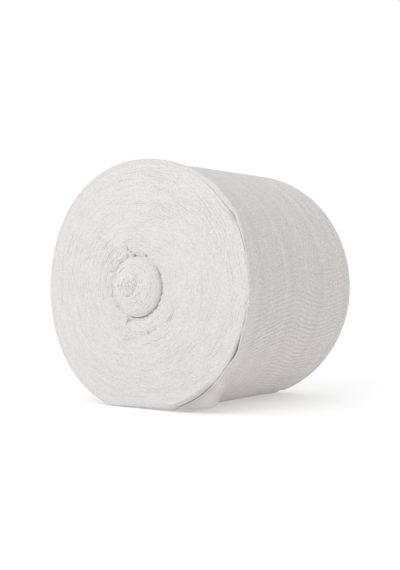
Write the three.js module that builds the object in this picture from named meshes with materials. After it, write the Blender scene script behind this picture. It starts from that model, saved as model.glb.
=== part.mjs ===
// A wide roll of absorbent gauze, lying on its side with its axis along Y. It is one strip of folded gauze wound on
// itself with no tube. Its middle turns are pushed forward, so the front bulges and the back is dished by as much.
// Millimetres, +Z up. The origin is on the floor under the axis, half way along the cloth's width, and the front with
// the pushed-out core faces -Y. Angles are taken round the axis: 0 is towards +X, 90 is up and -90 is the floor.
import * as THREE from "three";

// Driving sizes
const CLOTH_WIDTH = 228.6; // a 36 inch gauze folded in four
const RIM_RADIUS = 133.1; // of the front rim, the widest place
const AXIS_HEIGHT = 125.8; // less than the radius, because the roll flattens where it rests
const CORE_RADIUS = 30.2; // of the tight middle turns
const GROOVE_BOTTOM_RADIUS = 31.6; // of the gap round the core
const GROOVE_LIP_RADIUS = 33;
const INNER_CORE_RADIUS = 8.3; // of the very first turns, which stand out of the core
const BACK_ROUND = 26.4; // radius of the soft back shoulder
const SHEET_THICKNESS = 1.5; // of the loose end, four plies of gauze
const SHEET_GAP = 0.35; // between the loose end and the turn under it
const LAYER = SHEET_THICKNESS + SHEET_GAP;

const FRONT = -CLOTH_WIDTH / 2;
const BACK = CLOTH_WIDTH / 2;
const AROUND = 72; // facets round the axis
const DEGREE = Math.PI / 180;

// How far each turn stands forward of the front edge plane, by its radius. The first row is the axis.
const CORE_FACE = [
  { radius: 0, forward: 18.4 },
  { radius: 3.6, forward: 20 },
  { radius: 6.6, forward: 19.8 },
  { radius: INNER_CORE_RADIUS, forward: 17 },
  { radius: 10.4, forward: 18.4 },
  { radius: 14, forward: 17.9 },
  { radius: 18, forward: 16.5 },
  { radius: 22, forward: 14.6 },
  { radius: 25, forward: 12.4 },
  { radius: 27.6, forward: 9.6 },
  { radius: 29.2, forward: 6.6 },
  { radius: CORE_RADIUS, forward: 2.5 },
  { radius: GROOVE_BOTTOM_RADIUS, forward: -4 },
  { radius: 32.4, forward: 0.5 },
];
const SHOULDER_RADIUS = 29.2; // where the core starts to fall into the gap
const TURNS_FACE = [
  { radius: GROOVE_LIP_RADIUS, forward: 3.8 },
  { radius: 37, forward: 5 },
  { radius: 45, forward: 5.6 },
  { radius: 55, forward: 6 },
  { radius: 67, forward: 6.4 },
  { radius: 80, forward: 6 },
  { radius: 94, forward: 4.6 },
  { radius: 106, forward: 2.7 },
  { radius: 116, forward: 1 },
  { radius: 122, forward: 0.2 },
];
const TURNS_FACE_STEPS = 20;

// The front rim, from the face round to the side. Dip is the share that a row takes of the groove's depth.
const RIM = [
  { radius: 125, behind: 0.1, dip: 0.35 },
  { radius: 126.6, behind: 0.2, dip: 1 },
  { radius: 128.6, behind: 0.3, dip: 0.15 },
  { radius: 131.2, behind: 0.6, dip: 0 },
  { radius: 132.5, behind: 1.8, dip: 0 },
];
const GROOVE_RADIUS = 126.6; // of the groove's bottom before the rim's edge is shaped
const RIM_BEHIND = 4.5; // where the rim has turned into the side
// The outermost turn's edge at the rim: the radius of the groove inside it, how far it stands proud of the rim, the
// groove's depth, and how far the edge is set back. There is no groove on the left, nor below, where the edge belongs
// to the loose end.
const RIM_EDGE = [
  { angle: -34, groove: 126.6, lip: 0, depth: 0, setBack: 0 },
  { angle: -26, groove: 126.6, lip: -1.8, depth: 0, setBack: 0 },
  { angle: -18, groove: 126.6, lip: 0, depth: 0, setBack: 0 },
  { angle: -10, groove: 126.6, lip: 0, depth: 0, setBack: 0 },
  { angle: -5, groove: 131.6, lip: 0.3, depth: 2.4, setBack: 1.8 },
  { angle: 0, groove: 132.2, lip: 0.4, depth: 2.8, setBack: 1.8 },
  { angle: 18, groove: 132.4, lip: 0.8, depth: 2.8, setBack: 1.8 },
  { angle: 24, groove: 132.8, lip: 2.6, depth: 4, setBack: 1.8 },
  { angle: 30, groove: 133.2, lip: 4.8, depth: 8, setBack: 2 },
  { angle: 35, groove: 132.4, lip: 4.2, depth: 4, setBack: 1.8 },
  { angle: 40, groove: 131.8, lip: 3.9, depth: 2.8, setBack: 1.6 },
  { angle: 48, groove: 131.8, lip: 4, depth: 2, setBack: 1 },
  { angle: 54, groove: 131.8, lip: 2.8, depth: 1.4, setBack: 0.6 },
  { angle: 65, groove: 130.8, lip: 1, depth: 0.8, setBack: 0.3 },
  { angle: 82, groove: 126.6, lip: 0, depth: 0, setBack: 0 },
];

// How far the roll is out of round, as waves round it: so many lobes, at the front rim and at the back.
const LOBES = [
  { lobes: 2, frontCos: 0.45, frontSin: 0.31, backCos: 0.27, backSin: -0.08 },
  { lobes: 3, frontCos: 0.99, frontSin: -0.23, backCos: 0, backSin: 0 },
  { lobes: 4, frontCos: -0.85, frontSin: 0.08, backCos: 0.39, backSin: 0 },
];
const LOBES_FADE = 45; // distance behind the front over which the front's lobes give way to the back's

// The side's radius by the distance behind the front edge plane.
const SIDE = [
  { behind: RIM_BEHIND, radius: RIM_RADIUS },
  { behind: 9, radius: 132.5 },
  { behind: 16, radius: 131 },
  { behind: 27, radius: 129.2 },
  { behind: 42, radius: 129.8 },
  { behind: 70, radius: 131.4 },
  { behind: 115, radius: 131.3 },
  { behind: 160, radius: 130.2 },
  { behind: CLOTH_WIDTH - BACK_ROUND, radius: 130.7 },
];
const SIDE_STEPS = 22;

// Bunched turns and creases of the front, each a soft bump at an angle and radius. Rise is forward, in millimetres.
const FOLDS = [
  { what: "groove in the core", angle: -73, radius: 17.6, halfAngle: 26, halfWidth: 1.6, rise: -1.4 },
  { what: "lobe on top of the core", angle: 84, radius: 36, halfAngle: 10, halfWidth: 3, rise: 1.8 },
  { what: "notch left of that lobe", angle: 102, radius: 34, halfAngle: 5, halfWidth: 4, rise: -5 },
  { what: "notch right of that lobe", angle: 70, radius: 33.5, halfAngle: 4, halfWidth: 2, rise: -4 },
  { what: "long notch further left", angle: 110, radius: 39, halfAngle: 4, halfWidth: 5, rise: -4 },
  { what: "upper left lobe", angle: 132, radius: 36, halfAngle: 15, halfWidth: 4, rise: 2.5 },
  { what: "left pit", angle: 156, radius: 38, halfAngle: 6, halfWidth: 3, rise: -2.5 },
  { what: "pit at the core's left edge", angle: 194, radius: 33.5, halfAngle: 6, halfWidth: 3, rise: -4 },
  { what: "crease under that pit", angle: 221, radius: 34.4, halfAngle: 8, halfWidth: 3, rise: -3.5 },
  { what: "notch under the core", angle: 251, radius: 37.5, halfAngle: 5, halfWidth: 5, rise: -5 },
  { what: "swollen band under the core", angle: 295, radius: 40, halfAngle: 34, halfWidth: 5, rise: 2.5 },
  { what: "crease below the band", angle: 296, radius: 48.5, halfAngle: 34, halfWidth: 3.2, rise: -3 },
  { what: "end of that crease", angle: 255, radius: 55.5, halfAngle: 9, halfWidth: 3.2, rise: -2.5 },
];

// Waves round the side near the back, where the outer turns are slack.
const WAVES = { angle: 60, halfAngle: 45, behind: 186, halfLength: 24, pitch: 15, rise: 0.9 };

// The loose end covers the side's lower right, from its first angle down to the cut edge by the flat spot. Under it
// the roll has a turn less, so the two are flush where the loose end starts.
const LOOSE_END = { fromAngle: -10.4, toAngle: -68, rows: 26 };
const FLARE = { angle: -27, halfAngle: 6, halfLength: 7, rise: 3.5 }; // where its front edge stands off the rim
const HANG_ANGLE = -40; // where the hanging front corner leaves the roll
// The line that the hanging corner follows down towards the floor and in under the roll.
const HANG_PATH = [
  { x: 100.6, z: 34 },
  { x: 98.4, z: 28.5 },
  { x: 95.6, z: 22.5 },
  { x: 92.9, z: 16.6 },
  { x: 90.3, z: 11.5 },
  { x: 87, z: 7.2 },
  { x: 79, z: 4.6 },
  { x: 69, z: 3.6 },
  { x: 57, z: 2.7 },
];
// How much of that hang each place along the cloth's width takes, from the front edge to the back edge. Zero lies on
// the roll.
const HANG = [
  { behind: 2.5, share: 0.08 },
  { behind: 4.4, share: 0.34 },
  { behind: 6.6, share: 0.76 },
  { behind: 9, share: 1 },
  { behind: 14, share: 0.9 },
  { behind: 22, share: 0.45 },
  { behind: 32, share: 0.1 },
  { behind: 44, share: 0 },
  { behind: 64, share: 0 },
  { behind: 90, share: 0 },
  { behind: 118, share: 0 },
  { behind: 150, share: 0 },
  { behind: 180, share: 0 },
  { behind: CLOTH_WIDTH - BACK_ROUND, share: 0 },
  { behind: CLOTH_WIDTH - 19.6, share: 0 },
  { behind: CLOTH_WIDTH - 13.2, share: 0 },
  { behind: CLOTH_WIDTH - 7.7, share: 0 },
];

const clamp01 = (value) => Math.min(1, Math.max(0, value));
const smooth = (from, to, value) => {
  const share = clamp01((value - from) / (to - from));
  return share * share * (3 - 2 * share);
};
const bump = (distance, half) => Math.exp(-((distance / half) ** 2));
const turned = (angle, centre) => ((angle - centre + 540) % 360) - 180;

// Reads a value out of a table of rows by straight lines between them.
function lookUp(table, key, at, value) {
  const after = table.findIndex((row) => row[key] >= at);
  if (after === 0) return table[0][value];
  if (after < 0) return table[table.length - 1][value];
  const [low, high] = [table[after - 1], table[after]];
  return low[value] + ((at - low[key]) / (high[key] - low[key])) * (high[value] - low[value]);
}

// Points of a soft curve through rows, as radius and place along Y.
function curveThrough(points, steps) {
  return new THREE.SplineCurve(points).getPoints(steps);
}

const SIDE_CURVE = curveThrough(
  SIDE.map((row) => new THREE.Vector2(row.radius, FRONT + row.behind)),
  SIDE_STEPS,
);

// The outline that is turned round the axis: core, front turns, rim, side, back shoulder and dished back.
function outline() {
  const core = CORE_FACE.map((row) => new THREE.Vector2(row.radius, FRONT - row.forward));
  const turns = curveThrough(
    TURNS_FACE.map((row) => new THREE.Vector2(row.radius, FRONT - row.forward)),
    TURNS_FACE_STEPS,
  );
  const rim = RIM.map((row) => new THREE.Vector2(row.radius, FRONT + row.behind));
  const shoulderRadius = SIDE[SIDE.length - 1].radius - BACK_ROUND;
  const shoulder = new THREE.EllipseCurve(
    shoulderRadius, BACK - BACK_ROUND, BACK_ROUND, BACK_ROUND, 0, Math.PI / 2,
  ).getPoints(6).slice(1);
  // Every turn is as wide as the cloth, so the back is dished where the front stands forward.
  const dish = [...TURNS_FACE].reverse().filter((row) => row.radius < shoulderRadius - 5)
    .map((row) => new THREE.Vector2(row.radius, BACK - row.forward + 1));
  const coreBack = [29, 25, 17, 8, 0]
    .map((radius) => new THREE.Vector2(radius, BACK - lookUp(CORE_FACE, "radius", radius, "forward") + 1));
  return [...core, ...turns, ...rim, ...SIDE_CURVE, ...shoulder, ...dish, ...coreBack];
}

// 1 where the gap round the core is open, on the right and below, and nearly 0 where the turns press on the core.
function grooveOpen(angle) {
  const open = 1 - smooth(78, 96, Math.abs(turned(angle, -14)));
  return 0.18 + 0.82 * open;
}

// The share of the groove's depth that a radius near the rim takes.
function grooveDip(radius) {
  const row = RIM.find((candidate) => Math.abs(candidate.radius - radius) < 0.01);
  return row ? row.dip : 0;
}

// Moves a point of the front end along the axis: groove depths, folds, the set-back edge and the core's spiral.
function frontShift(radius, angle, forward) {
  let shift = 0;
  const [inner, outer] = [SHOULDER_RADIUS, GROOVE_LIP_RADIUS];
  if (radius > inner && radius < outer) {
    const shoulder = lookUp(CORE_FACE, "radius", inner, "forward");
    const lip = TURNS_FACE[0].forward;
    const bridge = shoulder + ((radius - inner) / (outer - inner)) * (lip - shoulder);
    shift += (bridge - forward) * (1 - grooveOpen(angle));
  }
  if (Math.abs(radius - INNER_CORE_RADIUS) < 0.5) {
    shift += 1.9 * smooth(85, 115, Math.abs(turned(angle, -36)));
  }
  if (radius > 10 && radius < 26) {
    shift += 0.5 * Math.cos((2 * Math.PI * radius) / 8 - angle * DEGREE);
  }
  if (radius > GROOVE_RADIUS) {
    shift -= lookUp(RIM_EDGE, "angle", angle, "setBack") * (1 + forward / RIM_BEHIND);
  }
  shift -= grooveDip(radius) * lookUp(RIM_EDGE, "angle", angle, "depth");
  for (const fold of FOLDS) {
    shift += fold.rise * bump(turned(angle, fold.angle), fold.halfAngle) * bump(radius - fold.radius, fold.halfWidth);
  }
  return shift;
}

// How far the roll is out of round there.
function lobesAt(angle, behind) {
  const front = Math.exp(-((behind / LOBES_FADE) ** 1.5));
  let total = 0;
  for (const row of LOBES) {
    const [cos, sin] = [Math.cos(row.lobes * angle * DEGREE), Math.sin(row.lobes * angle * DEGREE)];
    total += front * (row.frontCos * cos + row.frontSin * sin) + (1 - front) * (row.backCos * cos + row.backSin * sin);
  }
  return total;
}

// Shapes the rim's edge: moves the groove to its radius and the outermost turn's edge outwards.
function rimShift(radius, angle, behind) {
  const groove = lookUp(RIM_EDGE, "angle", angle, "groove") - GROOVE_RADIUS;
  const lip = lookUp(RIM_EDGE, "angle", angle, "lip");
  if (radius <= GROOVE_RADIUS) return groove * smooth(106, GROOVE_RADIUS, radius);
  const outward = clamp01((radius - GROOVE_RADIUS) / (RIM_RADIUS - GROOVE_RADIUS));
  if (behind < RIM_BEHIND) return groove * (1 - outward) + lip * outward;
  return lip * (1 - smooth(RIM_BEHIND, 19, behind));
}

// How far round the back shoulder a place is, from 0 at its start to 1 at the back.
function roundShoulder(behind) {
  return clamp01((behind - (CLOTH_WIDTH - BACK_ROUND)) / BACK_ROUND);
}

// How much smaller the roll is under the loose end.
function turnLess(angle, behind) {
  const covered = (1 - smooth(-10, -5, angle)) * smooth(-76, -70, angle);
  const past = roundShoulder(behind);
  const slope = Math.max(0.6, Math.sqrt(1 - past * past));
  return (LAYER / slope) * covered * (1 - smooth(CLOTH_WIDTH - 6, CLOTH_WIDTH, behind));
}

// The side's own unevenness, added to its radius.
function sideShift(angle, behind) {
  const wave = WAVES.rise * Math.cos((2 * Math.PI * (behind - WAVES.behind)) / WAVES.pitch);
  return wave * bump(turned(angle, WAVES.angle), WAVES.halfAngle) * bump(behind - WAVES.behind, WAVES.halfLength);
}

// Presses the lower turns together, so that the outermost one lies flat on the floor. The ends of the turns keep
// their order, and the side is cut off level.
function pressed(radius, angle, onSide) {
  const down = -Math.sin(angle * DEGREE);
  if (down <= 0) return radius;
  const allowed = AXIS_HEIGHT / down;
  if (onSide) return Math.min(radius, allowed);
  const share = Math.min(1, allowed / RIM_RADIUS);
  const ends = radius * (1 - (1 - share) * smooth(0.55 * RIM_RADIUS, 0.95 * RIM_RADIUS, radius));
  return Math.min(ends, allowed);
}

function placed(radius, angle, y) {
  const z = AXIS_HEIGHT + radius * Math.sin(angle * DEGREE);
  return new THREE.Vector3(radius * Math.cos(angle * DEGREE), y, Math.abs(z) < 1e-6 ? 0 : z);
}

// The wound roll: one solid, with the core, the dished back, the folds of the front and the flat spot.
function woundRoll() {
  const geometry = new THREE.LatheGeometry(outline(), AROUND);
  const position = geometry.getAttribute("position");
  for (let i = 0; i < position.count; i += 1) {
    const [x, y, z] = [position.getX(i), position.getY(i), position.getZ(i)];
    const angle = Math.atan2(z, x) / DEGREE;
    const flat = Math.hypot(x, z);
    const behind = Math.max(0, y - FRONT);
    const onFront = y < FRONT + 4;
    let radius = flat + lobesAt(angle, behind) * (flat / RIM_RADIUS) ** 2;
    let along = y;
    if (onFront && flat > 0.01) along -= frontShift(flat, angle, FRONT - y);
    if (flat > GROOVE_RADIUS - 22 && behind < 30) radius += rimShift(flat, angle, behind);
    if (onFront) radius -= turnLess(angle, behind) * smooth(GROOVE_RADIUS - 1, RIM_RADIUS - 1.5, flat);
    if (!onFront && flat > RIM_RADIUS - BACK_ROUND - 2) {
      radius += sideShift(angle, behind) * smooth(BACK, BACK - BACK_ROUND, y) - turnLess(angle, behind);
    }
    const onSide = !onFront && y < BACK - 1;
    const point = placed(pressed(radius, angle, onSide), angle, along);
    position.setXYZ(i, point.x, point.y, point.z);
  }
  return geometry;
}

// The outer face of the loose end where it lies on the roll.
function lyingPoint(angle, behind) {
  const side = lookUp(SIDE_CURVE, "y", FRONT + behind, "x");
  const past = roundShoulder(behind);
  const shoulder = BACK_ROUND * (1 - Math.sqrt(1 - past * past));
  const flare = FLARE.rise * bump(turned(angle, FLARE.angle), FLARE.halfAngle) * bump(behind, FLARE.halfLength);
  const radius = side - shoulder + lobesAt(angle, behind) + sideShift(angle, behind) + flare;
  return placed(radius, angle, FRONT + behind);
}

// Where the hanging corner would be, as far down its path as the same place on the roll.
function hangingPoint(angle, behind) {
  const start = lyingPoint(HANG_ANGLE, behind);
  const path = new THREE.CatmullRomCurve3([
    start, ...HANG_PATH.map((row) => new THREE.Vector3(row.x, start.y, row.z)),
  ]);
  const down = (HANG_ANGLE - angle) * DEGREE * RIM_RADIUS;
  return path.getPointAt(clamp01(down / path.getLength()));
}

function looseEndPoint(angle, behind) {
  const lying = lyingPoint(angle, behind);
  const share = angle < HANG_ANGLE ? lookUp(HANG, "behind", behind, "share") : 0;
  if (share > 0) lying.lerp(hangingPoint(angle, behind), share);
  return lying;
}

// A closed sheet: its outer face is the grid of points, and its inner face lies a thickness inside them.
function sheetSolid(rows, thickness) {
  const [down, across] = [rows.length, rows[0].length];
  const at = (i, j) => rows[Math.min(down - 1, Math.max(0, i))][Math.min(across - 1, Math.max(0, j))];
  const vertices = [];
  const place = (point) => vertices.push(point.x, point.y, Math.max(0, point.z));
  rows.forEach((row) => row.forEach(place));
  rows.forEach((row, i) => row.forEach((point, j) => {
    const along = at(i + 1, j).clone().sub(at(i - 1, j));
    const sideways = at(i, j + 1).clone().sub(at(i, j - 1));
    place(point.clone().addScaledVector(sideways.cross(along).normalize(), thickness));
  }));
  const faces = [];
  const quad = (a, b, c, d) => faces.push(a, d, c, a, c, b);
  const outer = (i, j) => i * across + j;
  const inner = (i, j) => down * across + i * across + j;
  for (let i = 0; i < down - 1; i += 1) {
    for (let j = 0; j < across - 1; j += 1) {
      quad(outer(i, j), outer(i, j + 1), outer(i + 1, j + 1), outer(i + 1, j));
      quad(inner(i, j), inner(i + 1, j), inner(i + 1, j + 1), inner(i, j + 1));
    }
  }
  for (let i = 0; i < down - 1; i += 1) {
    quad(outer(i, 0), outer(i + 1, 0), inner(i + 1, 0), inner(i, 0));
    quad(outer(i + 1, across - 1), outer(i, across - 1), inner(i, across - 1), inner(i + 1, across - 1));
  }
  for (let j = 0; j < across - 1; j += 1) {
    quad(outer(0, j + 1), outer(0, j), inner(0, j), inner(0, j + 1));
    quad(outer(down - 1, j), outer(down - 1, j + 1), inner(down - 1, j + 1), inner(down - 1, j));
  }
  const geometry = new THREE.BufferGeometry();
  geometry.setAttribute("position", new THREE.Float32BufferAttribute(vertices, 3));
  geometry.setIndex(faces);
  return geometry;
}

// The loose end of the outermost turn, a sheet whose front corner hangs to the floor.
function looseEnd() {
  const rows = [];
  for (let i = 0; i <= LOOSE_END.rows; i += 1) {
    const angle = LOOSE_END.fromAngle + (i / LOOSE_END.rows) * (LOOSE_END.toAngle - LOOSE_END.fromAngle);
    rows.push(HANG.map((row) => looseEndPoint(angle, row.behind)));
  }
  return sheetSolid(rows, SHEET_THICKNESS);
}

function gauze(colour) {
  return new THREE.MeshStandardMaterial({ color: colour, roughness: 0.95, metalness: 0 });
}

function named(name, geometry, material) {
  const mesh = new THREE.Mesh(geometry, material);
  mesh.name = name;
  return mesh;
}

const gauzeRoll = new THREE.Group();
gauzeRoll.add(
  named("wound_roll", woundRoll(), gauze(0xece7e6)),
  named("loose_end", looseEnd(), gauze(0xe4dfdc)),
);

export default gauzeRoll;
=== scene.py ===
import math

import bpy
import numpy as np
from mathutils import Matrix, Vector


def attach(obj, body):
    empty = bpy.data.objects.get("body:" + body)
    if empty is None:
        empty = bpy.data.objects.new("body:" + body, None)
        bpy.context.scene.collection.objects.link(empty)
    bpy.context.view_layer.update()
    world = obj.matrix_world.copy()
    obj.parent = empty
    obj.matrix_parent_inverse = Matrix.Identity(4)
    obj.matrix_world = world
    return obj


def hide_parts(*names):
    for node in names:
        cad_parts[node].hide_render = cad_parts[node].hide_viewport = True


# A wide roll of gauze lying on its side, dressed with its wound turns, its folds and its loose end.
# Sizes are in millimetres, as in the solids, and become metres when a mesh is made. Angles go round the axis
# in degrees: 0 towards +X, 90 up, -90 the floor. The front faces -Y. "Behind" is the distance behind the
# front edge.

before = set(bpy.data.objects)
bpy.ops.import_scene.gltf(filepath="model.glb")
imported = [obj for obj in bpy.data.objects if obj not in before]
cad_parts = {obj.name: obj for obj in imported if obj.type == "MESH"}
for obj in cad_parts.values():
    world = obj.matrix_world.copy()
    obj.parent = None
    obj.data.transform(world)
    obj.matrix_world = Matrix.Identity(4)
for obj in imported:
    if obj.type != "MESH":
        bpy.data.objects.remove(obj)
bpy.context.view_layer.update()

MM = 0.001
SEED = 20
PHOTO_HEIGHT = 570
SENSOR = 36.0

# Driving sizes
CLOTH_WIDTH = 228.6
RIM_RADIUS = 133.1
AXIS_HEIGHT = 125.8
BACK_ROUND = 26.4
FRONT = -CLOTH_WIDTH / 2
BACK = CLOTH_WIDTH / 2
CORE_SPLIT = 31.6  # radius where the core's mesh meets the turns, at the bottom of the gap
RIM_SPLIT = 126.6  # radius where the front meets the outermost turn, before the rim's edge is shaped
BACK_SPLIT = 130.7 - BACK_ROUND  # radius where the back shoulder meets the dished back
GROOVE_HALF = {"front": 1.7, "edge": 1.0}  # half its width, on the front and on the outermost turn's edge
PRESSED = (0.55 * RIM_RADIUS, 0.95 * RIM_RADIUS)  # radii between which the turns give way to the floor
GROOVE_PULL = 106  # radius from which the front's turns move outwards with the rim's groove
RIM_BEHIND = 4.5  # where the rim has turned into the side
TUCK = 5  # how far the front's mesh goes in behind its edges
LIP_END = 70  # where the proud edge of the outermost turn has sunk back to the side
TURN_PITCH = 2.4  # of the ridges that the turns make on both ends
AROUND = 480  # columns of the front and the side
BACK_AROUND = 360  # columns of the back
SHARP_FROM = 75.0  # degrees between two faces
RIM_LENGTH = 9  # of the rim's outline, from the front's end to the side
RIM_ROWS_TO, RIM_STEP, SIDE_STEP = 16, 0.5, 1.9  # rows along that outline

# How far each turn stands forward of the front edge plane, by radius
FACE = {
    "radius": [0, 0.8, 1.7, 4, 6.6, 8.3, 10.4, 14, 18, 22, 25, 27.6, 29.4, 30.4, 31.1, 31.6, 32.1,
               37, 45, 55, 67, 80, 94, 106, 116, 122, 126.6],
    "forward": [16.5, 17.5, 19.4, 20, 19.6, 18.8, 18.4, 17.9, 16.6, 14.9, 13, 10.7, 8.5, 7, 5.4, -3, 4.2,
                5, 5.6, 6, 6.4, 6, 4.6, 2.7, 1, 0.2, -0.2],
}
SHOULDER = {"radius": 30.6, "forward": 6.6}  # where the core starts to fall into the gap
LIP = {"radius": 32.5, "forward": 4.2}  # where the turns round the gap start
# How far the gap round the core is open, by angle
GAP = {
    "angle": [-118, -108, -60, 0, 26, 40, 58, 68, 74, 96, 104],
    "open": [0, 0.6, 0.85, 1, 0.9, 0.35, 0.12, 0.1, 0.3, 0.3, 0],
}
# The dished back, which ends as far in as its front stands out. The core's steep edge is softer there.
BACK_FACE = {
    "radius": [0, 8, 17, 25, 29, 33, 37, 45, 55, 67, 80, 94, BACK_SPLIT],
    "inward": [17, 17.4, 15.8, 11.4, 6.5, 3.6, 3.8, 4.4, 4.8, 5.2, 4.6, 2, 0],
}
# The rim and the side, from where the front ends
SIDE = {
    "behind": [0.2, 0.25, 0.5, 1.0, 2.0, 3.1, 4.5, 9, 16, 27, 42, 70, 90, 115, 140, 160, 202.2],
    "radius": [126.6, 128.8, 130.8, 131.9, 132.6, 132.95, 133.1, 132.5, 131.3, 130.1, 129.7, 130.8, 130.5,
               130.3, 129.8, 129.7, 130.7],
}

# The outermost turn's edge at the rim, by angle: the radius of the groove inside it, how far it stands proud,
# the groove's depth, and how far the edge is set back. There is no groove on the left, nor below, where the
# edge belongs to the loose end.
RIM_EDGE = {
    "angle": [-34, -26, -18, -10, -5, 0, 18, 26, 31, 34, 40, 48, 54, 65, 82],
    "groove": [126.6, 126.6, 126.6, 126.6, 131.6, 132.2, 132.4, 132.8, 133.2, 132, 131, 131, 131, 130,
               126.6],
    "lip": [0, -0.9, 0, 0, 0.3, 0.4, 0.8, 2.6, 4.8, 4.2, 3.9, 4, 2.8, 1, 0],
    "depth": [0, 0, 0, 0, 1, 1.1, 1.1, 1.2, 4.6, 0.4, 0.2, 0.25, 0.2, 0.1, 0],
    "set_back": [0, 0, 0, 0, 1, 1.1, 1.1, 1.4, 2, 1.2, 0.9, 0.7, 0.5, 0.2, 0],
}

# How far the roll is out of round, as waves round it: so many lobes, at the front rim and at the back
LOBES = [
    {"lobes": 2, "front_cos": 0.45, "front_sin": 0.31, "back_cos": 0.27, "back_sin": -0.08},
    {"lobes": 3, "front_cos": 0.99, "front_sin": -0.23, "back_cos": 0, "back_sin": 0},
    {"lobes": 4, "front_cos": -0.85, "front_sin": 0.08, "back_cos": 0.39, "back_sin": 0},
]
LOBES_FADE = 45  # how far behind the front its lobes have turned into the back's

# Bunched turns and creases of the front. Rise is forward.
FOLD_COLUMNS = ("what", "angle", "radius", "half_angle", "half_width", "rise")
FOLDS = [dict(zip(FOLD_COLUMNS, row)) for row in (
    ("groove in the core", -73, 17.4, 26, 0.7, -1.5),
    ("lobe on top of the core", 84, 36, 11, 2.8, 1.6),
    ("pit left of that lobe", 98.5, 32, 2.6, 1.1, -5),
    ("pit right of that lobe", 70.5, 33.2, 2, 1, -5),
    ("layers of the lobe", 84, 35.2, 8, 0.5, -1.1),
    ("layers over them", 83, 37.6, 8, 0.5, -1),
    ("small pit above the left one", 103.5, 37, 1.6, 0.9, -3),
    ("second small pit", 104, 40.7, 1.8, 0.7, -2.2),
    ("long notch, its foot", 112, 35.5, 1.1, 2.6, -2.4),
    ("long notch, its head", 108.5, 41.5, 1.4, 2.2, -2.8),
    ("upper left lobe", 132, 36, 15, 4, 1.6),
    ("bunched turns, inner", 134, 33, 17, 0.6, -1.1),
    ("bunched turns, middle", 126, 35.2, 13, 0.6, -1.2),
    ("bunched turns, outer", 140, 37.6, 14, 0.6, -1.3),
    ("bunched turns, last", 126, 40.6, 13, 0.6, -1),
    ("left pit", 156, 38.2, 1.8, 1.1, -2.4),
    ("line above the left pit", 146, 50, 11, 0.6, -1),
    ("spot on that line", 151, 51.6, 1.6, 0.8, -1.3),
    ("spot further up", 132, 52.5, 2, 0.8, -1.3),
    ("pit at the core's left edge", 193, 32.4, 2.2, 1.5, -3.6),
    ("end of that pit", 196, 36, 1.2, 1.4, -1.8),
    ("crease under that pit", 219, 34, 5, 1.1, -2),
    ("short crease", 235, 40.5, 1.2, 2.4, -1.2),
    ("notch under the core", 250.5, 37.5, 1.2, 3.2, -3.6),
    ("pit beside that notch", 254.5, 36, 1.8, 1.1, -3.2),
    ("band under the core", 293, 40, 34, 4.6, 3),
    ("crease below the band", 283, 47.6, 22, 0.6, -1.9),
    ("its lower line", 290, 50, 18, 0.6, -1.6),
    ("its rise to the right", 324, 51, 13, 0.6, -1.9),
    ("second line on the right", 328, 53.6, 9, 0.6, -1.5),
    ("second crease on the left", 264, 53.6, 12, 0.6, -1.9),
    ("end of that crease", 252, 56.5, 5, 0.65, -1.6),
    ("crease at the lower right", 307, 114.5, 12, 0.6, -0.9),
)]
THIN_CREASE = 0.8  # half the width under which a crease wavers in depth

# Creases round the side near the back, where the outer turns are slack: one at each place, leaning backwards,
# with a swell in front of it
SIDE_CREASES = {
    "behind": [146, 163, 181],
    "depth": [1.1, 3.2, 2.8],
    "half_length": 2.3,
    "swell_before": 6,
    "angle": 56,
    "half_angle": 26,
    "lean": 0.1,
}

# Every kind of unevenness: how many patches it has round the roll, and how long one is across them
PATCH_COLUMNS = ("seed", "around", "pitch")
PATCHES = {what: dict(zip(PATCH_COLUMNS, row)) for what, row in {
    "slack of the side": (1, 18, 30),
    "height of a turn": (2, 14, 1),
    "wear of a turn": (3, 60, 4),
    "swells of the front": (4, 22, 16),
    "waver of the turns": (5, 36, 9),
    "fine waver of the turns": (6, 110, 4),
    "ragged lip": (7, 110, 8),
    "waver of the creases": (8, 54, 10),
    "fine waver of the creases": (9, 130, 5),
    "slack turns": (10, 48, 3),
    "slack areas": (11, 24, 14),
    "course of the core's groove": (12, 30, 20),
    "breaks in the creases": (13, 100, 4),
    "depth of the core's groove": (14, 22, 20),
    "depth of the rim's groove": (15, 90, 10),
    "waver of the side's creases": (16, 40, 40),
}.items()}
PATCH_REACH = 260  # how far the patches go across

# How far the weft lines of the side climb round the roll, by distance behind the front edge
WEFT_PITCH = 5.0
WEFT_LOW = {"behind": [0, 20, 45, 70, 88, 105, 125, 145, 165, 190, 215, 230],
            "climb": [0, 6, 16, 25, 28, 26, 19, 16, 18, 26, 36, 40]}
WEFT_HIGH = {"behind": [0, 12, 28, 45, 70, 88, 105, 125, 145, 165, 190, 215, 230],
             "climb": [22, 17, 13, 16, 24, 27, 26, 20, 17, 18, 24, 32, 35]}

# The loose end, and the way its front corner hangs. Its outer face is flush with the roll where it starts,
# and under it the roll has a turn less.
LOOSE_FROM, LOOSE_TO = 4.0, -68.0
LOOSE_FRONT = 1.3
LOOSE_BACK = CLOTH_WIDTH - 7.7
LOOSE_THICKNESS = 1.1
LAYER = LOOSE_THICKNESS + 0.35
LOOSE_TUCK = 0.9  # how deep it starts under the outer turn
LOOSE_ROWS, LOOSE_COLUMNS = 110, 150
RIM_ROW = 14  # the first row of the side's outline that the loose end lies on
FLARE = {"angle": -28, "half_angle": 4.8, "half_length": 3, "rise": 3.1}
OFF_FLOOR = 0.05  # the least height of the loose end over the floor
HANG_ANGLE = -40.0
HANG_PATH = {
    "x": [100.6, 98.4, 95.6, 92.9, 90.3, 87, 79, 69, 57],
    "z": [34, 28.5, 22.5, 16.6, 11.5, 7.2, 4.6, 3.6, 2.7],
}
HANG = {"behind": [1.3, 3, 5, 8, 11, 15, 22, 32, 44], "share": [0, 0.05, 0.3, 0.8, 1, 0.86, 0.45, 0.1, 0]}

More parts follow.
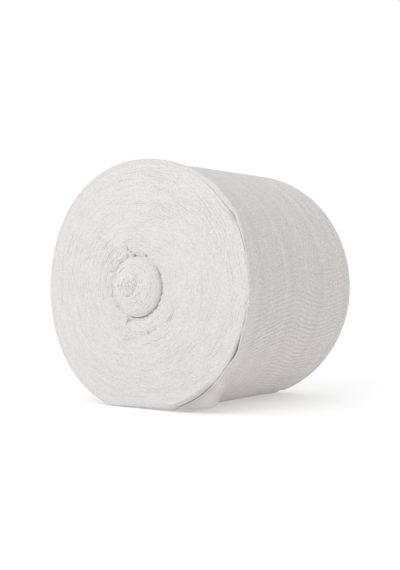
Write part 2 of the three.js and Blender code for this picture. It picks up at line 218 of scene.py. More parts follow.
HANG_STEPS, HANG_SOFTEN = 300, 15  # points along the path, and how many of them soften a bend on each side
CORNER_SHADE = {"from": (-43, -54), "to": (-76, -66), "behind": (9, 20)}  # where the hanging corner gets painted shade, by angle
COVERED = {"from": (-4, -12), "to": (-76, -70)}  # where the roll has a turn less, by angle
COLUMN_SPREAD = 1.35  # the loose end's columns are closer together near the front

# The ridges of the turns: how high they are and how much painted shade darkens the valleys between them,
# everywhere, and how much more on the core and in the slack turns on its left
RIDGE = {"all": 0.48, "core": 0.4, "slack": 0.3}
VALLEY_SHADE = {"all": 1.25, "core": 0.3, "slack": 0.5}
BACK_RIDGE = 0.34

# Seen from in front and to the right, level with the roll's axis
CAMERA_AZIMUTH = 36.35
CAMERA_ELEVATION = 0.21
CAMERA_DISTANCE = 1091.8
CAMERA_AIM_RIGHT = -4.9
CAMERA_AIM = (0.0, -2.5, 127.4)
FOCAL_PIXELS = 973.0

# The light, in metres and watts. The sky goes from full to weak strength towards the lower right.
KEY = {"place": (0.0, -2.0, 1.3), "aim": (0, 0, 0.1), "size": 1.8, "power": 15.0}
SKY = {"from": -0.25, "to": 1.2, "full": 1.0, "weak": 0.27}
FLOOR = {"half": 30.0, "albedo": 0.72, "glow": 0.32}


def smooth(low, high, value):
    """Goes from 0 to 1 while the value goes from low to high."""
    share = np.clip((value - low) / (high - low), 0, 1)
    return share * share * (3 - 2 * share)


def bump(distance, half):
    """1 in the middle and nearly 0 at twice the half width."""
    return np.exp(-((distance / half) ** 2))


def turned(angle, centre):
    """The angle from a centre, between -180 and 180."""
    return (angle - centre + 540) % 360 - 180


def look_up(table, key, at, value, soften=0.0):
    """A table's value between its rows, averaged over a short length so that it has no corners."""
    rows = [np.interp(at + offset * soften, table[key], table[value]) for offset in (-1, -0.5, 0, 0.5, 1)]
    return sum(rows) / len(rows)


def patches(what, angle, across):
    """Soft random values from -1 to 1 that close up round the roll."""
    columns, pitch = PATCHES[what]["around"], PATCHES[what]["pitch"]
    rows = int(PATCH_REACH / pitch) + 3
    grid = np.random.default_rng(SEED + PATCHES[what]["seed"]).uniform(-1, 1, (rows, columns))
    column = (angle % 360) / 360 * columns
    row = np.clip(across / pitch, 0, rows - 2)
    j = np.floor(column).astype(int) % columns
    i = np.floor(row).astype(int)
    right = smooth(0, 1, column - np.floor(column))
    down = smooth(0, 1, row - i)
    top = grid[i, j] * (1 - right) + grid[i, (j + 1) % columns] * right
    bottom = grid[i + 1, j] * (1 - right) + grid[i + 1, (j + 1) % columns] * right
    return top * (1 - down) + bottom * down


# Forms shared with the solids

def groove_open(angle):
    """1 where the gap round the core is open, nearly 0 where the turns press on the core."""
    return look_up(GAP, "angle", turned(angle, 0), "open", soften=3)


def fold_rise(radius, angle):
    """How far the folds move the front forward. The thin creases waver and are broken into short lengths."""
    waver = 0.9 * patches("waver of the creases", angle, radius)
    radius = radius + waver + 0.7 * patches("fine waver of the creases", angle, radius)
    broken = 0.45 + 0.55 * smooth(-0.5, 0.6, patches("breaks in the creases", angle, radius))
    total = 0
    for fold in FOLDS:
        round_it = bump(turned(angle, fold["angle"]), fold["half_angle"])
        rise = fold["rise"] * round_it * bump(radius - fold["radius"], fold["half_width"])
        total = total + (rise * broken if fold["half_width"] < THIN_CREASE else rise)
    return total


def groove_dip(distance, angle, half):
    """How deep the groove inside the outermost turn is, by the distance from its bottom."""
    depth = np.interp(turned(angle, 0), RIM_EDGE["angle"], RIM_EDGE["depth"])
    uneven = 1 + 0.6 * patches("depth of the rim's groove", angle, np.zeros_like(angle))
    return depth * uneven * bump(distance, half)


def face_forward(radius, angle):
    """How far the front stands forward of its edge plane, without the ridges of the single turns."""
    forward = look_up(FACE, "radius", radius, "forward", soften=0.35)
    inner, outer = SHOULDER["radius"], LIP["radius"]
    share = (radius - inner) / (outer - inner)
    bridge = SHOULDER["forward"] * (1 - share) + LIP["forward"] * share
    closed = (1 - groove_open(angle)) * ((radius > inner) & (radius < outer))
    forward = forward + closed * np.maximum(bridge - forward, 0)
    return forward + fold_rise(radius, angle) - groove_dip(RIM_SPLIT - radius, angle, GROOVE_HALF["front"])


def lobes_at(angle, behind):
    """How far the roll is out of round."""
    front = np.exp(-((behind / LOBES_FADE) ** 1.5))
    total = 0
    for row in LOBES:
        cos, sin = np.cos(np.radians(row["lobes"] * angle)), np.sin(np.radians(row["lobes"] * angle))
        total = total + front * (row["front_cos"] * cos + row["front_sin"] * sin)
        total = total + (1 - front) * (row["back_cos"] * cos + row["back_sin"] * sin)
    return total


def rim_shift(radius, angle, behind):
    """Shapes the rim's edge: moves the groove to its radius and the outermost turn's edge outwards."""
    groove = np.interp(turned(angle, 0), RIM_EDGE["angle"], RIM_EDGE["groove"]) - RIM_SPLIT
    lip = np.interp(turned(angle, 0), RIM_EDGE["angle"], RIM_EDGE["lip"])
    outward = np.clip((radius - RIM_SPLIT) / (RIM_RADIUS - RIM_SPLIT), 0, 1)
    edge = groove * (1 - outward) + lip * outward
    side = lip * (1 - smooth(RIM_BEHIND, LIP_END, behind))
    front = groove * smooth(GROOVE_PULL, RIM_SPLIT, radius)
    return np.where(radius <= RIM_SPLIT, front, np.where(behind < RIM_BEHIND, edge, side))


def set_back(angle, behind):
    """How far the outermost turn's edge is set back behind the front."""
    most = np.interp(turned(angle, 0), RIM_EDGE["angle"], RIM_EDGE["set_back"])
    return most * np.clip(1 - behind / RIM_BEHIND, 0, 1)


def turn_less(angle, behind):
    """How much smaller the roll is under the loose end."""
    covered = smooth(*COVERED["from"], turned(angle, 0)) * smooth(*COVERED["to"], turned(angle, 0))
    past = np.clip((behind - (CLOTH_WIDTH - BACK_ROUND)) / BACK_ROUND, 0, 1)
    slope = np.maximum(0.6, np.sqrt(1 - past * past))
    return LAYER / slope * covered * (1 - smooth(CLOTH_WIDTH - 6, CLOTH_WIDTH, behind))


def side_shift(angle, behind):
    """The side's own unevenness: the creases near the back, and slack turns here and there."""
    total = 0.3 * patches("slack of the side", angle, behind) * smooth(6, 20, behind)
    off = turned(angle, SIDE_CREASES["angle"])
    half = SIDE_CREASES["half_length"]
    along = behind + SIDE_CREASES["lean"] * off + 1.6 * patches("waver of the side's creases", angle, behind)
    for place, depth in zip(SIDE_CREASES["behind"], SIDE_CREASES["depth"]):
        swell = 0.5 * bump(along - place + SIDE_CREASES["swell_before"], 2 * half)
        total = total - depth * (bump(along - place, half) - swell) * bump(off, SIDE_CREASES["half_angle"])
    return total


def pressed(radius, angle, on_side):
    """Presses the lower turns together: the ends of the turns keep their order, the side is cut off level."""
    down = np.maximum(-np.sin(np.radians(angle)), 1e-6)
    allowed = AXIS_HEIGHT / down
    share = np.minimum(1, allowed / RIM_RADIUS)
    ends = radius * (1 - (1 - share) * smooth(*PRESSED, radius))
    return np.minimum(np.where(on_side, radius, ends), allowed)


def unpressed(flat, angle, behind):
    """The radius of a place on the roll after its lobes and its rim's edge."""
    radius = flat + lobes_at(angle, behind) * (flat / RIM_RADIUS) ** 2
    return radius + rim_shift(flat, angle, behind) * (behind < LIP_END)


def shaped(flat, angle, behind, on_side):
    """The same after the press of the floor."""
    return pressed(unpressed(flat, angle, behind), angle, on_side)


def placed(radius, angle, y):
    """Points on the roll, from their radius, angle and place along the axis."""
    turn = np.radians(angle)
    return np.stack([radius * np.cos(turn), y + 0 * radius, AXIS_HEIGHT + radius * np.sin(turn)], -1)


# Mesh making

def object_from(name, points, faces, material, uv_maps):
    """A mesh object from points in millimetres. uv_maps holds a value for each corner of each face, in order.
    Where a mesh turns inside, its edge is kept sharp."""
    mesh = bpy.data.meshes.new(name)
    mesh.from_pydata((points * MM).tolist(), [], faces)
    for uv_name, corners in uv_maps.items():
        layer = mesh.uv_layers.new(name=uv_name)
        layer.uv.foreach_set("vector", corners.astype(np.float32).ravel())
    mesh.materials.append(material)
    mesh.polygons.foreach_set("use_smooth", [True] * len(mesh.polygons))
    mesh.update()
    mesh.set_sharp_from_angle(angle=math.radians(SHARP_FROM))
    piece = bpy.data.objects.new(name, mesh)
    bpy.context.collection.objects.link(piece)
    return piece


def revolved(name, rings, uv_maps, material, poles=()):
    """A closed solid from rings of points. It goes from the first ring to the last and back inside, or is
    closed by a pole at either end. Every UV map is a grid with one column more than the rings have points."""
    count, around = rings.shape[:2]
    points = list(rings.reshape(-1, 3))
    tucks = (count - len(next(iter(uv_maps.values())))) // 2
    for uv_name, grid in uv_maps.items():
        uv_maps[uv_name] = np.pad(grid, ((tucks, tucks), (0, 0), (0, 0)), "edge")
    i, j = np.meshgrid(np.arange(count - 1), np.arange(around), indexing="ij")
    i, j = i.ravel(), j.ravel()
    k = (j + 1) % around
    above, below = i * around, (i + 1) * around
    faces = np.stack([above + j, below + j, below + k, above + k], -1).tolist()
    corners = {}
    for uv_name, grid in uv_maps.items():
        quads = np.stack([grid[i, j], grid[i + 1, j], grid[i + 1, j + 1], grid[i, j + 1]], 1)
        corners[uv_name] = [quads.reshape(-1, 2)]
    closing = {"first": (0, True), "last": (count - 1, False)}
    for pole in poles:
        ring, starts = closing[pole["end"]]
        points.append(np.array(pole["point"]))
        tip = len(points) - 1
        for column in range(around):
            a, b = ring * around + column, ring * around + (column + 1) % around
            faces.append([tip, a, b] if starts else [tip, b, a])
        for uv_name, grid in uv_maps.items():
            fan = []
            for column in range(around):
                a, b = grid[ring, column], grid[ring, column + 1]
                fan += [(a + b) / 2, a, b] if starts else [(a + b) / 2, b, a]
            corners[uv_name].append(np.array(fan))
    if not poles:
        last = (count - 1) * around
        for column in range(around):
            after = (column + 1) % around
            faces.append([last + column, column, after, last + after])
        for uv_name, grid in uv_maps.items():
            strip = [[grid[-1, c], grid[0, c], grid[0, c + 1], grid[-1, c + 1]] for c in range(around)]
            corners[uv_name].append(np.array(strip).reshape(-1, 2))
    joined = {uv_name: np.concatenate(parts) for uv_name, parts in corners.items()}
    return object_from(name, np.array(points), faces, material, joined)


def tucked(rings, depth):
    """Rings with one more at either end, tucked in behind the first and the last, so that the mesh closes
    inside."""
    first, last = rings[:1].copy(), rings[-1:].copy()
    first[..., 1] += depth
    last[..., 1] += depth
    return np.concatenate([first, rings, last])


def angles_of(around):
    """Angles of the columns, from the left side of the front round past the floor and back to it."""
    return -180 + 360 * np.arange(around + 1) / around


# Texture coordinates

def weft_phase(angle, behind):
    """Counts the weft lines that cross the side, which climb and fall along the roll's width."""
    high = smooth(-32, 6, turned(angle, 0)) * (1 - smooth(60, 100, turned(angle, 0)))
    climb = look_up(WEFT_LOW, "behind", behind, "climb", soften=8) * (1 - high)
    climb = climb + look_up(WEFT_HIGH, "behind", behind, "climb", soften=6) * high
    lines = round(2 * math.pi * RIM_RADIUS / WEFT_PITCH)
    return angle / 360 * lines - climb / WEFT_PITCH


def cloth_maps(angle, behind):
    """Two maps: the place on the strip in metres, and the count of weft lines with the painted shade of the
    hanging corner. The corner is a single layer over the gap under the roll, and that gap's shade is painted
    dark into its colour."""
    flat = np.stack([np.radians(angle) * RIM_RADIUS * MM, behind * MM], -1)
    hanging = smooth(*CORNER_SHADE["from"], turned(angle, 0)) * smooth(*CORNER_SHADE["to"], turned(angle, 0))
    # painted shade of the hanging corner
    corner_shade = hanging * (1 - smooth(*CORNER_SHADE["behind"], behind))
    weft = np.stack([weft_phase(angle, behind), corner_shade], -1)
    return {"Cloth": flat, "Weft": weft}


# Pieces

def turns_at(radius, angle):
    """The edges of the single turns, wavy ridges on one spiral: their height from 0 to 1, and how deep in the
    valley between two of them a place is."""
    waver = 0.8 * patches("waver of the turns", angle, radius)
    waver = waver + 0.6 * patches("fine waver of the turns", angle, radius)
    turn = (radius + waver) / TURN_PITCH - (angle + 180) / 360
    off = np.abs(2 * (turn - np.floor(turn)) - 1)
    level = patches("height of a turn", angle, np.clip(np.floor(turn), 0, 200) + 2)
    worn = 0.6 + 0.4 * patches("wear of a turn", angle, radius)
    slack = patches("slack turns", angle, radius) + 0.5 * patches("slack areas", angle, radius)
    return (1 - off ** 2.2) * worn + 0.7 * level, off ** 5 * smooth(-0.5, 0.9, slack)


def end_maps(angle, radius, valley):
    """Maps of the ends of the turns. The second one holds the painted shade of the valleys, creases and
    grooves.
    """
    maps = cloth_maps(angle, radius)
    maps["Weft"] = np.stack([valley, radius * MM], -1)
    return maps


def ridged(radius, angle, fade):
    """How far the front stands forward with the ridges of its turns, and the painted shade in the valleys and
    creases, with a little painted light on the raised folds."""
    ridge, valley = turns_at(radius, angle)
    inner = 1 - smooth(28, 38, radius)
    slack = bump(turned(angle, 150), 55) * smooth(31, 34, radius) * (1 - smooth(46, 64, radius))
    in_gap = groove_open(angle) * bump(radius - CORE_SPLIT, 1.1)
    share = fade * (1 - in_gap)
    # painted shade in the creases and pits, and a little painted light on the raised folds
    crease = np.clip(-fold_rise(radius, angle) / 8, -0.15, 0.4)
    height = RIDGE["all"] + RIDGE["core"] * inner + RIDGE["slack"] * slack
    # how much painted shade darkens the valleys between the turns
    dark = VALLEY_SHADE["all"] + VALLEY_SHADE["core"] * inner + VALLEY_SHADE["slack"] * slack
    return face_forward(radius, angle) + share * height * ridge, share * dark * valley + crease


def front_turns(material):
    """The wide front between the core's gap and the rim's groove."""
    angle = angles_of(AROUND)[None, :]
    near, far = np.arange(CORE_SPLIT, 58, 0.45), np.arange(58, RIM_SPLIT, 0.66)
    radius = np.concatenate([near, far, [RIM_SPLIT]])[:, None]
    radius, angle = np.broadcast_arrays(radius, angle)
    fade = 1 - smooth(RIM_SPLIT - 3, RIM_SPLIT, radius)
    forward, dark = ridged(radius, angle, fade)
    swell = smooth(CORE_SPLIT, 36, radius) * 0.5 * patches("swells of the front", angle, radius)
    forward = forward + fade * swell
    ragged = 0.8 * patches("ragged lip", angle, radius) * bump(radius - 33, 1.4)
    ragged = ragged * smooth(CORE_SPLIT, 32.4, radius)
    rings = placed(shaped(radius + ragged, angle, 0, False), angle, FRONT - forward)[:, :-1]
    return revolved("front_turns", tucked(rings, TUCK), end_maps(angle, radius, dark), material)


def core_turns(material):
    """The tight middle turns, which stand out of the front. A short groove winds round their centre."""
    radius = np.concatenate([np.arange(0.6, CORE_SPLIT, 0.36), [CORE_SPLIT]])[:, None]
    radius, angle = np.broadcast_arrays(radius, angles_of(AROUND)[None, :])
    forward, dark = ridged(radius, angle, smooth(1, 4, radius))
    open_side = 1 - smooth(85, 112, np.abs(turned(angle, -36)))
    spiral = 8.3 + 1.6 * smooth(40, 100, np.abs(turned(angle, -20)))
    spiral = spiral + 0.7 * patches("course of the core's groove", angle, radius)
    uneven = 0.6 + 0.6 * patches("depth of the core's groove", angle, radius)
    groove = open_side * uneven * bump(radius - spiral, 0.6)
    forward = forward - 2 * groove
    rings = placed(radius, angle, FRONT - forward)[:, :-1]
    tip = [0, float(rings[0, :, 1].mean()), AXIS_HEIGHT]
    inside = [0, FRONT + 12, AXIS_HEIGHT]
    poles = [{"end": "first", "point": tip}, {"end": "last", "point": inside}]
    # painted shade in the spiral groove and in the hole at the centre, and a little painted light over the
    # rest of the core
    dark = dark + 0.5 * groove + 0.3 * bump(radius, 1) - 0.26
    return revolved("core_turns", rings, end_maps(angle, radius, dark), material, poles)


def outline_of_side():
    """Rows of radius and distance behind the front edge, from the front's end over the rim and along to the
    back. The rows are close together at the rim. Its corners are rounded a little, the side's a lot."""
    stations = np.array([SIDE["behind"], SIDE["radius"]], float).T
    lengths = np.concatenate([[0], np.cumsum(np.hypot(*np.diff(stations, axis=0).T))])
    at_rim = np.arange(0, RIM_ROWS_TO, RIM_STEP)
    wanted = np.concatenate([at_rim, np.arange(RIM_ROWS_TO, lengths[-1], SIDE_STEP), [lengths[-1]]])
    spread = np.array([-0.6, -0.3, 0, 0.3, 0.6])
    behind = sum(np.interp(wanted + d, lengths, stations[:, 0]) for d in spread) / len(spread)
    near = sum(np.interp(wanted + d, lengths, stations[:, 1]) for d in spread) / len(spread)
    reach = np.clip(0.9 * (wanted - RIM_LENGTH), 0.5, 14)
    far = sum(np.interp(wanted + reach * d, lengths, stations[:, 1]) for d in spread) / len(spread)
    radius = near + (far - near) * smooth(RIM_LENGTH, RIM_LENGTH + 3, wanted)
    behind[0], radius[0] = stations[0]
    turn = np.radians(np.arange(5, 91, 5.0))
    shoulder_radius = stations[-1, 1] - BACK_ROUND + BACK_ROUND * np.cos(turn)
    shoulder_behind = CLOTH_WIDTH - BACK_ROUND + BACK_ROUND * np.sin(turn)
    radius = np.concatenate([radius, shoulder_radius])
    behind = np.concatenate([behind, shoulder_behind])
    return radius[:, None], behind[:, None]


def outer_turns(material):
    """The outermost turns: the rim's edge, the side and the soft back shoulder."""
    radius, behind = outline_of_side()
    radius, behind, angle = np.broadcast_arrays(radius, behind, angles_of(AROUND)[None, :])
    groove = groove_dip(radius - RIM_SPLIT, angle, GROOVE_HALF["edge"])
    dip = np.where(behind < 3, groove, 0) + set_back(angle, behind)
    shift = side_shift(angle, behind) * smooth(CLOTH_WIDTH, CLOTH_WIDTH - BACK_ROUND, behind)
    on_side = (behind > 4) & (behind < CLOTH_WIDTH - 1)
    less = turn_less(angle, behind) * np.where(on_side, 1, smooth(RIM_SPLIT - 1, RIM_RADIUS - 1.5, radius))
    around = pressed(unpressed(radius, angle, behind) + shift * on_side - less, angle, on_side)
    rings = placed(around, angle, FRONT + behind + dip)[:, :-1]
    return revolved("outer_turns", rings, cloth_maps(angle, behind), material)


def back_turns(material):
    """The dished back, where every turn ends as far in as its front stands out."""
    radius = np.concatenate([np.arange(1, BACK_SPLIT, 1.1), [BACK_SPLIT]])[::-1][:, None]
    radius, angle = np.broadcast_arrays(radius, angles_of(BACK_AROUND)[None, :])
    inward = look_up(BACK_FACE, "radius", radius, "inward", soften=1.5)
    fade = 1 - smooth(BACK_SPLIT - 4, BACK_SPLIT, radius)
    ridge, valley = turns_at(radius, angle)
    inward = inward + fade * BACK_RIDGE * ridge
    rings = placed(shaped(radius, angle, CLOTH_WIDTH, False), angle, BACK - inward)[:, :-1]
    inside = [0, BACK - 60, AXIS_HEIGHT]
    tip = [0, float(rings[-1, :, 1].mean()), AXIS_HEIGHT]
    poles = [{"end": "last", "point": tip}, {"end": "first", "point": inside}]
    # painted shade in the valleys between the turns of the back
    return revolved("back_turns", rings, end_maps(angle, radius, fade * valley), material, poles)


def lying(angle, behind):
    """Radius of the loose end's outer face where it lies on the roll. Its start is tucked in under the outer
    turn."""
    radius, along = outline_of_side()
    side = np.interp(behind, along[RIM_ROW:, 0], radius[RIM_ROW:, 0])
    lip = np.maximum(np.interp(angle, RIM_EDGE["angle"], RIM_EDGE["lip"]), 0)
    lip = lip * (1 - smooth(RIM_BEHIND, LIP_END, behind))
    flare = FLARE["rise"] * bump(turned(angle, FLARE["angle"]), FLARE["half_angle"])
    flare = flare * bump(behind, FLARE["half_length"])
    tuck = LOOSE_TUCK * smooth(-5, 3, angle)
    return side + lip + flare + lobes_at(angle, behind) + side_shift(angle, behind) - tuck


def hung_corner(angle, behind, start):
    """Where the hanging corner would be, as far down its path as the same place on the roll."""
    points = start.copy()
    down = np.radians(HANG_ANGLE - angle) * RIM_RADIUS
    half = HANG_SOFTEN
    spread = np.ones(2 * half + 1) / (2 * half + 1)
    for j in range(start.shape[1]):
        first = placed(lying(np.array([HANG_ANGLE]), behind[:1, j]), np.array([HANG_ANGLE]), 0)[0]
        path_x = np.concatenate([[first[0]], HANG_PATH["x"]])
        path_z = np.concatenate([[first[2]], HANG_PATH["z"]])
        steps = np.concatenate([[0], np.cumsum(np.hypot(np.diff(path_x), np.diff(path_z)))])
        fine = np.linspace(0, steps[-1], HANG_STEPS)
        soft_x = np.convolve(np.pad(np.interp(fine, steps, path_x), half, "edge"), spread, "valid")
        soft_z = np.convolve(np.pad(np.interp(fine, steps, path_z), half, "edge"), spread, "valid")
        at = np.clip(down[:, j], 0, steps[-1])
        points[:, j, 0] = np.interp(at, fine, soft_x)
        points[:, j, 2] = np.interp(at, fine, soft_z)
    return points


def loose_end(material):
    """The outer end of the strip. It goes on from the outer turn, and its front corner hangs off the rim."""
    place = LOOSE_FRONT + np.linspace(0, 1, LOOSE_COLUMNS) ** COLUMN_SPREAD * (LOOSE_BACK - LOOSE_FRONT)
    angle, behind = np.meshgrid(np.linspace(LOOSE_FROM, LOOSE_TO, LOOSE_ROWS), place, indexing="ij")
    on_roll = placed(lying(angle, behind), angle, FRONT + behind)
    hanging = hung_corner(angle, behind, on_roll)
    share = look_up(HANG, "behind", behind, "share", soften=1.5)
    share = share * smooth(HANG_ANGLE + 1, HANG_ANGLE - 4, angle)
    outer = on_roll * (1 - share[..., None]) + hanging * share[..., None]
    along = np.gradient(outer, axis=0)
    sideways = np.gradient(outer, axis=1)
    inward = np.cross(sideways, along)
    inward = inward / np.linalg.norm(inward, axis=-1, keepdims=True)
    inner = outer + inward * LOOSE_THICKNESS
    for face in (outer, inner):
        face[..., 2] = np.maximum(face[..., 2], OFF_FLOOR)
    return sheet_object("free_end", outer, inner, cloth_maps(angle, behind), material)


def sheet_object(name, outer, inner, maps, material):
    """A closed sheet from the grids of its two faces."""
    down, across = outer.shape[:2]
    points = np.concatenate([outer.reshape(-1, 3), inner.reshape(-1, 3)])
    under = down * across
    faces = []
    at = []
    for i in range(down - 1):
        for j in range(across - 1):
            a, b, c, d = i * across + j, i * across + j + 1, (i + 1) * across + j + 1, (i + 1) * across + j
            faces.append([a, d, c, b])
            faces.append([under + a, under + b, under + c, under + d])
            at += [(i, j), (i + 1, j), (i + 1, j + 1), (i, j + 1)]
            at += [(i, j), (i, j + 1), (i + 1, j + 1), (i + 1, j)]
    rim = [(i, 0) for i in range(down - 1)] + [(down - 1, j) for j in range(across - 1)]
    rim += [(i, across - 1) for i in range(down - 1, 0, -1)] + [(0, j) for j in range(across - 1, 0, -1)]
    for first, second in zip(rim, rim[1:] + rim[:1]):
        a, b = first[0] * across + first[1], second[0] * across + second[1]
        faces.append([b, a, under + a, under + b])
        at += [second, first, first, second]
    rows, columns = np.array(at).T
    corners = {uv_name: grid[rows, columns] for uv_name, grid in maps.items()}
    return object_from(name, points, faces, material, corners)


# Materials

END_DARK, END_LIGHT = (0.535, 0.507, 0.502), (0.727, 0.704, 0.704)
CLOTH_DARK, CLOTH_LIGHT = (0.56, 0.525, 0.51), (0.74, 0.705, 0.69)
WARP_PITCH = 0.0042  # metres, of the bunches of threads that run round the roll


class Nodes:
    """Adds shader nodes to a material and links them, so that a material reads as a list of steps."""

    def __init__(self, name):
        self.material = bpy.data.materials.new(name)
        self.material.use_nodes = True
        self.tree = self.material.node_tree
        self.shader = self.tree.nodes["Principled BSDF"]

    def add(self, kind, inputs=(), **settings):
        """A new node. Its inputs are fed in their order."""
        made = self.tree.nodes.new(kind)
        for key, value in settings.items():
            setattr(made, key, value)
        for socket, value in zip(made.inputs, inputs):
            self.feed(socket, value)
        return made

    def feed(self, socket, value):
        if isinstance(value, bpy.types.NodeSocket):
            self.tree.links.new(value, socket)
        else:
            socket.default_value = value

    def math(self, operation, *values):
        return self.add("ShaderNodeMath", values, operation=operation).outputs[0]

    def split(self, vector):
        return self.add("ShaderNodeSeparateXYZ", [vector]).outputs

    def uv(self, name):
        return self.split(self.add("ShaderNodeUVMap", uv_map=name).outputs[0])

    def vector(self, *values):
        return self.add("ShaderNodeCombineXYZ", values).outputs[0]

    def places(self):
        """The true place, measured from the axis: as a vector, and its parts across and up."""
        x, y, z = self.split(self.add("ShaderNodeTexCoord").outputs["Object"])
        height = self.math("SUBTRACT", z, AXIS_HEIGHT * MM)
        return self.vector(x, y, height), x, height

    def mixed(self, share, first, second):
        """A value that goes from the first to the second."""
        return self.math("MULTIPLY_ADD", self.math("SUBTRACT", second, first), share, first)

    def ramp(self, value, start, end, low=0.0, high=1.0, kind="SMOOTHSTEP"):
        """Goes from low to high while the value goes from start to end."""
        inputs = [value, start, end, low, high]
        return self.add("ShaderNodeMapRange", inputs, interpolation_type=kind).outputs[0]

    def noise(self, vector, scale, detail=2.0, roughness=0.6):
        made = self.add("ShaderNodeTexNoise")
        self.feed(made.inputs["Vector"], vector)
        made.inputs["Scale"].default_value = scale
        made.inputs["Detail"].default_value = detail
        made.inputs["Roughness"].default_value = roughness
        return made.outputs[0]

    def added(self, total, value, weight):
        """The total with the value of a noise added, which lies round a half."""
        return self.math("MULTIPLY_ADD", self.math("SUBTRACT", value, 0.5), weight, total)

    def colour(self, value, dark, light):
        made = self.add("ShaderNodeMix", data_type="RGBA")
        self.feed(made.inputs[0], value)
        for socket, end in ((made.inputs[6], dark), (made.inputs[7], light)):
            self.feed(socket, (*end, 1) if isinstance(end, tuple) else end)
        return made.outputs[2]

    def finish(self, colour, height, distance, sheen):
        relief = self.add("ShaderNodeBump")
        relief.inputs["Distance"].default_value = distance
        self.feed(relief.inputs["Height"], height)
        self.feed(self.shader.inputs["Base Color"], colour)
        self.feed(self.shader.inputs["Normal"], relief.outputs["Normal"])
        self.shader.inputs["Roughness"].default_value = 0.95
        self.shader.inputs["Specular IOR Level"].default_value = 0.15
        self.shader.inputs["Sheen Weight"].default_value = sheen
        self.shader.inputs["Sheen Roughness"].default_value = 0.6
        return self.material


def end_grain(nodes, place, x, height):
    """The ends of the turns: thin wavy ply edges that run round the roll, and fine fibres. Gives the tone and
    the relief."""
    square = nodes.math("ADD", nodes.math("POWER", x, 2.0), nodes.math("POWER", height, 2.0))
    radius = nodes.math("SQRT", square)
    wavy = nodes.math("MULTIPLY_ADD", nodes.noise(place, scale=160.0, roughness=0.5), 0.004, radius)
    streak = nodes.vector(x, nodes.math("MULTIPLY", wavy, 2.4), height)
    plies = nodes.noise(streak, scale=420.0)
    fibres = nodes.noise(place, scale=900.0, detail=1.0)
    relief = nodes.math("ADD", nodes.math("MULTIPLY", plies, 0.7), nodes.math("MULTIPLY", fibres, 0.5))
    tone = nodes.math("ADD", nodes.math("MULTIPLY", plies, 0.5), nodes.math("MULTIPLY", fibres, 0.5))
    return nodes.added(0.79, tone, weight=2.4), relief


def end_grain_material():
    """The ends of the turns, with painted shade in the valleys between them, in the creases and in the core's
    groove and hole.
    """
    nodes = Nodes("gauze_edges")
    tone, relief = end_grain(nodes, *nodes.places())
    valley = nodes.uv("Weft")[0]
    # painted shade, read from the Weft map
    tone = nodes.math("MULTIPLY_ADD", valley, -0.75, tone)
    colour = nodes.colour(tone, END_DARK, END_LIGHT)
    return nodes.finish(colour, relief, distance=0.0012, sheen=0.1)


def weft_lines(nodes, phase, height, place, behind):
    """The wavy lines of the side, strong below, broken up, and faint at the rim. Gives also the lines of half
    their pitch."""
    wide = nodes.math("SINE", nodes.math("MULTIPLY", phase, 2 * math.pi))
    fine = nodes.math("SINE", nodes.math("MULTIPLY", phase, 4 * math.pi))
    low = nodes.ramp(height, start=0.045, end=-0.06, low=0.12)
    broken = nodes.math("MULTIPLY_ADD", nodes.noise(place, scale=55.0, roughness=0.5), 1.6, -0.25)
    off_rim = nodes.ramp(behind, start=0.006, end=0.024, low=0.25, kind="LINEAR")
    strength = nodes.math("MULTIPLY", low, nodes.math("MULTIPLY", broken, off_rim))
    return nodes.math("MULTIPLY", nodes.math("MULTIPLY_ADD", fine, 0.3, wide), strength), fine


def cloth_material():
    """The gauze seen flat on: an open weave, and the wavy lines where the wefts of the plies crowd together.
    At the rim and on the back it turns into the look of the turns' ends."""
    nodes = Nodes("gauze_cloth")
    behind = nodes.uv("Cloth")[1]
    count, corner_shade = nodes.uv("Weft")[:2]
    place, x, height = nodes.places()
    waver = nodes.noise(place, scale=34.0, detail=4.0)
    phase = nodes.math("MULTIPLY_ADD", waver, 1.7, count)
    lines, picks = weft_lines(nodes, phase, height, place, behind)
    ends = nodes.math("MULTIPLY", behind, 2 * math.pi / WARP_PITCH)
    warp = nodes.math("SINE", nodes.math("MULTIPLY_ADD", waver, 9.0, ends))
    threads = nodes.math("ADD", warp, picks)
    threads = nodes.math("MULTIPLY", threads, nodes.noise(place, scale=90.0, roughness=0.5))
    fibre = nodes.noise(place, scale=430.0)
    across = nodes.math("MULTIPLY_ADD", waver, 0.012, behind)
    bands = nodes.noise(nodes.vector(across), scale=70.0, roughness=0.5)
    relief = nodes.math("ADD", nodes.math("MULTIPLY", lines, 0.2), nodes.math("MULTIPLY", threads, 0.2))
    relief = nodes.math("ADD", relief, nodes.math("MULTIPLY", fibre, 0.9))
    tone = nodes.math("MULTIPLY_ADD", lines, 0.42, 0.52)
    tone = nodes.added(tone, fibre, weight=1.35)
    tone = nodes.added(tone, bands, weight=0.9)
    tone = nodes.math("MULTIPLY_ADD", threads, 0.1, tone)
    # painted shade on the hanging corner
    tone = nodes.math("MULTIPLY_ADD", corner_shade, -1.0, tone)
    end_tone, end_relief = end_grain(nodes, place, x, height)
    # painted shade on the hanging corner, where the turns' ends show
    end_tone = nodes.math("MULTIPLY_ADD", corner_shade, -0.9, nodes.math("SUBTRACT", end_tone, 0.25))
    off_rim = nodes.ramp(behind, start=0.0015, end=0.007)
    off_back = nodes.ramp(behind, start=(CLOTH_WIDTH - 0.1) * MM, end=(CLOTH_WIDTH - 5) * MM)
    flat = nodes.math("MULTIPLY", off_rim, off_back)
    dark = nodes.colour(flat, END_DARK, CLOTH_DARK)
    light = nodes.colour(flat, END_LIGHT, CLOTH_LIGHT)
    colour = nodes.colour(nodes.mixed(flat, end_tone, tone), dark, light)
    return nodes.finish(colour, nodes.mixed(flat, end_relief, relief), distance=0.0009, sheen=0.12)


# Setting

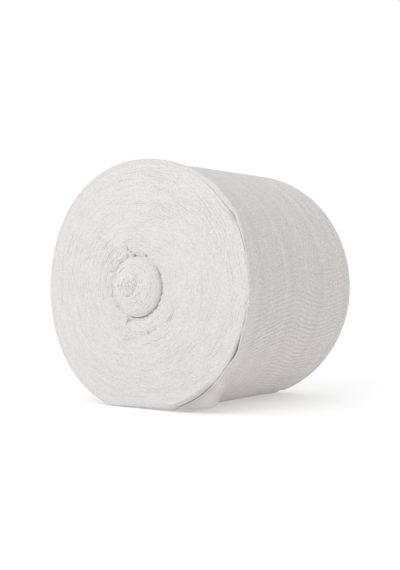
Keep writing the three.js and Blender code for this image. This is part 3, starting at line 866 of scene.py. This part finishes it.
def camera():
    """Stands where the photograph was taken from."""
    azimuth, elevation = math.radians(CAMERA_AZIMUTH), math.radians(CAMERA_ELEVATION)
    back = Vector((
        math.sin(azimuth) * math.cos(elevation),
        -math.cos(azimuth) * math.cos(elevation),
        math.sin(elevation),
    ))
    right = Vector((math.cos(azimuth), math.sin(azimuth), 0))
    aim = Vector(CAMERA_AIM) + right * CAMERA_AIM_RIGHT
    data = bpy.data.cameras.new("camera")
    data.sensor_width = SENSOR
    data.lens = FOCAL_PIXELS * SENSOR / PHOTO_HEIGHT
    data.clip_end = 100
    made = bpy.data.objects.new("camera", data)
    made.location = (aim + back * CAMERA_DISTANCE) * MM
    made.rotation_euler = (-back).to_track_quat("-Z", "Y").to_euler()
    bpy.context.collection.objects.link(made)
    bpy.context.scene.camera = made


def key_lamp():
    """A large soft lamp in front of the roll and above it."""
    data = bpy.data.lights.new("key", "AREA")
    data.shape = "DISK"
    data.size = KEY["size"]
    data.energy = KEY["power"]
    made = bpy.data.objects.new("key", data)
    made.location = KEY["place"]
    made.rotation_euler = (Vector(KEY["aim"]) - Vector(KEY["place"])).to_track_quat("-Z", "Y").to_euler()
    bpy.context.collection.objects.link(made)


def studio():
    """Soft white light all round, weaker from the right and from below."""
    world = bpy.data.worlds.new("studio")
    bpy.context.scene.world = world
    world.use_nodes = True
    tree = world.node_tree
    background = tree.nodes["Background"]
    place = tree.nodes.new("ShaderNodeTexCoord")
    split = tree.nodes.new("ShaderNodeSeparateXYZ")
    tree.links.new(place.outputs["Generated"], split.inputs[0])
    ramp = tree.nodes.new("ShaderNodeMapRange")
    ramp.interpolation_type = "SMOOTHSTEP"
    lower = tree.nodes.new("ShaderNodeMath")
    lower.operation = "SUBTRACT"
    tree.links.new(split.outputs[0], lower.inputs[0])
    tree.links.new(split.outputs[2], lower.inputs[1])
    tree.links.new(lower.outputs[0], ramp.inputs["Value"])
    ramp.inputs["From Min"].default_value = SKY["from"]
    ramp.inputs["From Max"].default_value = SKY["to"]
    ramp.inputs["To Min"].default_value = SKY["full"]
    ramp.inputs["To Max"].default_value = SKY["weak"]
    tree.links.new(ramp.outputs[0], background.inputs["Strength"])
    background.inputs["Color"].default_value = (1, 1, 1, 1)
    bpy.context.scene.view_settings.view_transform = "Standard"


def floor():
    """A plain pale floor that glows a little, so that it goes over into the sky without a line."""
    half = FLOOR["half"]
    corners = [(-half, -half, 0), (half, -half, 0), (half, half, 0), (-half, half, 0)]
    mesh = bpy.data.meshes.new("floor")
    mesh.from_pydata(corners, [], [(0, 1, 2, 3)])
    nodes = Nodes("floor")
    nodes.shader.inputs["Base Color"].default_value = (*[FLOOR["albedo"]] * 3, 1)
    nodes.shader.inputs["Roughness"].default_value = 1.0
    nodes.shader.inputs["Specular IOR Level"].default_value = 0.0
    nodes.shader.inputs["Emission Color"].default_value = (1, 1, 1, 1)
    nodes.shader.inputs["Emission Strength"].default_value = FLOOR["glow"]
    mesh.materials.append(nodes.material)
    made = bpy.data.objects.new("floor", mesh)
    bpy.context.collection.objects.link(made)


def main():
    camera()
    studio()
    key_lamp()
    floor()
    edges = end_grain_material()
    cloth = cloth_material()
    pieces = [outer_turns(cloth), front_turns(edges), core_turns(edges), back_turns(edges)]
    for piece in pieces:
        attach(piece, "root")
        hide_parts("wound_roll")
    end = loose_end(cloth)
    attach(end, "root")
    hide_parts("loose_end")


main()
